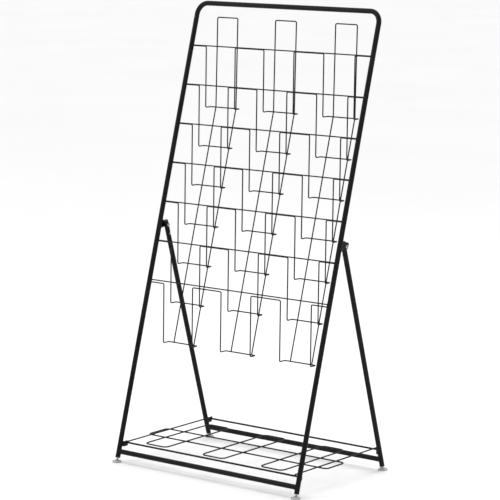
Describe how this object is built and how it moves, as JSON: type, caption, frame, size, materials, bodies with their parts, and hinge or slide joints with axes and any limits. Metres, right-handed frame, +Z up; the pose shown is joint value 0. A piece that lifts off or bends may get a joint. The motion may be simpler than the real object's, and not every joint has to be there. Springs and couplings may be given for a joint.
{
  "type": "folding brochure rack",
  "caption": "Free-standing folding wire rack: leaning tube frame with columns of stepped wire pockets for brochures, hinged rear legs, a low wire shelf and levelling feet.",
  "frame": {"origin": "on the floor, in the middle of the four foot pads", "axes": "+Z up, -Y towards the reader (the brochures face -Y), X across the rack along its rungs"},
  "size_m": [0.76, 0.486, 1.4614],
  "materials": {
    "black_paint": "fine-textured black powder coat on steel tube, wire and plate",
    "zinc_plate": "bright zinc plate",
    "black_plastic": "moulded black nylon",
    "grey_plastic": "moulded light grey plastic"
  },
  "bodies": {
    "front_frame": {"front_hoop": "black_paint", "front_crossbar": "black_paint", "rung_1": "black_paint", "rung_2": "black_paint", "rung_3": "black_paint", "rung_4": "black_paint", "rung_5": "black_paint", "rung_6": "black_paint", "rung_7": "black_paint", "pocket_wire_1": "black_paint", "pocket_wire_2": "black_paint", "pocket_wire_3": "black_paint", "pocket_wire_4": "black_paint", "pocket_wire_5": "black_paint", "pocket_wire_6": "black_paint", "pocket_wire_7": "black_paint", "back_wire_left": "black_paint", "back_wire_centre": "black_paint", "back_wire_right": "black_paint", "pivot_bracket_left": "black_paint", "pivot_bracket_right": "black_paint", "pivot_bolt_left": "zinc_plate", "pivot_bolt_right": "zinc_plate", "pivot_nut_left": "zinc_plate", "pivot_nut_right": "zinc_plate", "pivot_washers": "black_plastic", "front_shelf_hook_left": "black_paint", "front_shelf_hook_right": "black_paint", "front_foot_insert_left": "grey_plastic", "front_foot_insert_right": "grey_plastic"},
    "rear_frame": {"rear_leg_left": "black_paint", "rear_leg_right": "black_paint", "leg_cap_left": "black_plastic", "leg_cap_right": "black_plastic", "pivot_bush_left": "black_plastic", "pivot_bush_right": "black_plastic", "leg_rivets": "zinc_plate", "rear_crossbar": "black_paint", "rear_shelf_hook_left": "black_paint", "rear_shelf_hook_right": "black_paint", "rear_foot_insert_left": "grey_plastic", "rear_foot_insert_right": "grey_plastic"},
    "shelf": {"shelf_front_rod": "black_paint", "shelf_rear_rod": "black_paint", "shelf_side_wire_left": "black_paint", "shelf_side_wire_right": "black_paint", "shelf_cross_ring": "black_paint", "shelf_column_ring_left": "black_paint", "shelf_column_ring_centre": "black_paint", "shelf_column_ring_right": "black_paint"},
    "foot_front_left": {"foot_stud_front_left": "zinc_plate", "foot_pad_front_left": "grey_plastic"},
    "foot_front_right": {"foot_stud_front_right": "zinc_plate", "foot_pad_front_right": "grey_plastic"},
    "foot_rear_left": {"foot_stud_rear_left": "zinc_plate", "foot_pad_rear_left": "grey_plastic"},
    "foot_rear_right": {"foot_stud_rear_right": "zinc_plate", "foot_pad_rear_right": "grey_plastic"}
  },
  "joints": [
    {"name": "rear_frame_fold", "type": "hinge", "parent": "front_frame", "child": "rear_frame", "pos_m": [0, 0.01436, 0.74506], "axis": [-1, 0, 0], "range_deg": [0, 27]},
    {"name": "shelf_lift", "type": "hinge", "parent": "front_frame", "child": "shelf", "pos_m": [0, -0.19779, 0.0614], "axis": [1, 0, 0], "range_deg": [0, 61]},
    {"name": "foot_front_left_adjust", "type": "slide", "parent": "front_frame", "child": "foot_front_left", "axis": [0, -0.2756, -0.9613], "range_m": [0, 0.008]},
    {"name": "foot_front_right_adjust", "type": "slide", "parent": "front_frame", "child": "foot_front_right", "axis": [0, -0.2756, -0.9613], "range_m": [0, 0.008]},
    {"name": "foot_rear_left_adjust", "type": "slide", "parent": "rear_frame", "child": "foot_rear_left", "axis": [0, 0.2756, -0.9613], "range_m": [0, 0.008]},
    {"name": "foot_rear_right_adjust", "type": "slide", "parent": "rear_frame", "child": "foot_rear_right", "axis": [0, 0.2756, -0.9613], "range_m": [0, 0.008]}
  ],
  "couplings": [
    {"joint": "shelf_lift", "follows": "rear_frame_fold", "ratio": 2.25}
  ]
}
